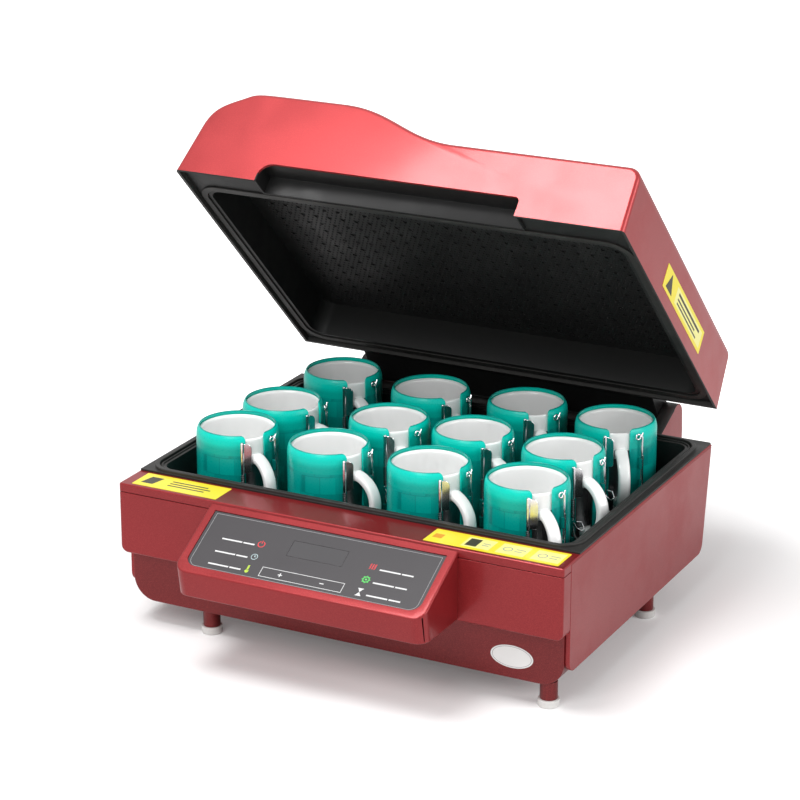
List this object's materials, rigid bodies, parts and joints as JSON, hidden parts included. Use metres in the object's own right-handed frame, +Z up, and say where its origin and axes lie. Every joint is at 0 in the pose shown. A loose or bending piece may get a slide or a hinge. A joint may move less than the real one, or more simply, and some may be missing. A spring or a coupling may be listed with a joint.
{
  "type": "vacuum sublimation press",
  "caption": "Bench-top vacuum sublimation press: red sheet-metal base with a sloped control panel, hinged humped lid, and a heated tray of white mugs in clamped wraps.",
  "frame": {"origin": "centre of the machine's bounding box on the bench, lid open", "axes": "+Z up, +X to the operator's right, -Y towards the operator"},
  "size_m": [0.501, 0.5248, 0.5333],
  "materials": {
    "red_enamel": "satin red powder coat",
    "red_enamel_dark": "satin red powder coat, in shade",
    "black_enamel": "satin black heat-proof coat",
    "dark_tray": "dark non-stick coat",
    "zinc_plate": "zinc plated",
    "heater_steel": "heater sheath",
    "heater_mica": "mica sheet heater",
    "insulation_felt": "ceramic fibre felt",
    "black_rubber": "matt silicone rubber",
    "pale_rubber": "matt pale rubber",
    "black_plastic": "matt black moulding",
    "red_rocker": "glossy red rocker",
    "grey_film": "printed grey overlay film",
    "smoked_window": "smoked clear window",
    "board": "solder mask",
    "pump_metal": "die cast and machined",
    "valve_brass": "plain",
    "clear_hose": "milky silicone hose",
    "ceramic_block": "unglazed",
    "shaft_steel": "ground",
    "bush_bronze": "sintered bronze",
    "white_glaze": "gloss white glaze with a polymer coat",
    "teal_silicone": "translucent teal silicone band",
    "bright_steel": "polished steel",
    "label_yellow": "coated label stock",
    "badge_white": "blank oval badge"
  },
  "bodies": {
    "base": {"lower_casing": "red_enamel_dark", "front_fascia": "red_enamel", "side_panel_left": "red_enamel", "side_panel_right": "red_enamel", "rear_panel": "red_enamel_dark", "top_frame": "red_enamel", "base_plate": "zinc_plate", "foot_posts": "red_enamel_dark", "foot_pads": "pale_rubber", "tray": "dark_tray", "tray_floor_plate": "dark_tray", "rim_gasket": "black_rubber", "tray_heater": "heater_steel", "insulation_pad": "insulation_felt", "console_housing": "red_enamel", "panel_overlay": "grey_film", "display_window": "smoked_window", "control_board": "board", "vacuum_pump": "pump_metal", "vacuum_valve": "valve_brass", "vacuum_hose": "clear_hose", "power_module": "zinc_plate", "terminal_block": "ceramic_block", "fan_frame": "black_plastic", "power_inlet": "black_plastic", "switch_housing": "black_plastic", "hinge_housing": "red_enamel", "hinge_shaft": "shaft_steel", "mugs": "white_glaze", "mug_wraps": "teal_silicone", "wrap_rods": "bright_steel", "lip_labels": "label_yellow", "front_badge": "badge_white"},
    "lid": {"lid_shell": "red_enamel", "lid_liner": "black_enamel", "lid_gasket": "black_rubber", "lid_plate": "black_enamel", "lid_heater": "heater_mica", "lid_grip": "black_plastic", "lid_label": "label_yellow", "hinge_neck": "black_plastic", "hinge_arms": "shaft_steel", "hinge_bushes": "bush_bronze"},
    "rocker": {"power_rocker": "red_rocker"},
    "fan": {"fan_rotor": "black_plastic"},
    "flywheel": {"pump_flywheel": "pump_metal"},
    "lever_01": {"wrap_lever_01": "bright_steel"},
    "lever_02": {"wrap_lever_02": "bright_steel"},
    "lever_03": {"wrap_lever_03": "bright_steel"},
    "lever_04": {"wrap_lever_04": "bright_steel"},
    "lever_05": {"wrap_lever_05": "bright_steel"},
    "lever_06": {"wrap_lever_06": "bright_steel"},
    "lever_07": {"wrap_lever_07": "bright_steel"},
    "lever_08": {"wrap_lever_08": "bright_steel"},
    "lever_09": {"wrap_lever_09": "bright_steel"},
    "lever_10": {"wrap_lever_10": "bright_steel"},
    "lever_11": {"wrap_lever_11": "bright_steel"},
    "lever_12": {"wrap_lever_12": "bright_steel"}
  },
  "joints": [
    {"name": "lid_hinge", "type": "hinge", "parent": "base", "child": "lid", "pos_m": [0, 0.2471, 0.1664], "axis": [-1, 0, 0], "range_deg": [-44.5, 0]},
    {"name": "rocker_pivot", "type": "hinge", "parent": "base", "child": "rocker", "pos_m": [0.21875, 0.18438, 0.08697], "axis": [-1, 0, 0], "range_deg": [0, 16]},
    {"name": "fan_spin", "type": "hinge", "parent": "base", "child": "fan", "pos_m": [-0.21875, 0.17769, 0.07992], "axis": [0, 0.9877, -0.1564], "continuous": true},
    {"name": "flywheel_spin", "type": "hinge", "parent": "base", "child": "flywheel", "pos_m": [-0.068, 0.0845, 0.0535], "axis": [1, 0, 0], "continuous": true},
    {"name": "lever_01_pivot", "type": "hinge", "parent": "base", "child": "lever_01", "pos_m": [-0.14584, -0.11188, 0.1645], "axis": [0, 0, -1], "range_deg": [0, 90]},
    {"name": "lever_02_pivot", "type": "hinge", "parent": "base", "child": "lever_02", "pos_m": [-0.02767, -0.10941, 0.1645], "axis": [0, 0, -1], "range_deg": [0, 90]},
    {"name": "lever_03_pivot", "type": "hinge", "parent": "base", "child": "lever_03", "pos_m": [0.0827, -0.11289, 0.1645], "axis": [0, 0, -1], "range_deg": [0, 90]},
    {"name": "lever_04_pivot", "type": "hinge", "parent": "base", "child": "lever_04", "pos_m": [0.18125, -0.11702, 0.1645], "axis": [0, 0, -1], "range_deg": [0, 90]},
    {"name": "lever_05_pivot", "type": "hinge", "parent": "base", "child": "lever_05", "pos_m": [-0.12784, -0.00647, 0.1645], "axis": [0, 0, -1], "range_deg": [0, 90]},
    {"name": "lever_06_pivot", "type": "hinge", "parent": "base", "child": "lever_06", "pos_m": [-0.02569, -0.02334, 0.1645], "axis": [0, 0, -1], "range_deg": [0, 90]},
    {"name": "lever_07_pivot", "type": "hinge", "parent": "base", "child": "lever_07", "pos_m": [0.08044, -0.01091, 0.1645], "axis": [0, 0, -1], "range_deg": [0, 90]},
    {"name": "lever_08_pivot", "type": "hinge", "parent": "base", "child": "lever_08", "pos_m": [0.1858, -0.0184, 0.1645], "axis": [0, 0, -1], "range_deg": [0, 90]},
    {"name": "lever_09_pivot", "type": "hinge", "parent": "base", "child": "lever_09", "pos_m": [-0.1359, 0.09149, 0.1645], "axis": [0, 0, -1], "range_deg": [0, 90]},
    {"name": "lever_10_pivot", "type": "hinge", "parent": "base", "child": "lever_10", "pos_m": [-0.01449, 0.08871, 0.1645], "axis": [0, 0, -1], "range_deg": [0, 90]},
    {"name": "lever_11_pivot", "type": "hinge", "parent": "base", "child": "lever_11", "pos_m": [0.08231, 0.08866, 0.1645], "axis": [0, 0, -1], "range_deg": [0, 90]},
    {"name": "lever_12_pivot", "type": "hinge", "parent": "base", "child": "lever_12", "pos_m": [0.17823, 0.07887, 0.1645], "axis": [0, 0, -1], "range_deg": [0, 90]}
  ]
}
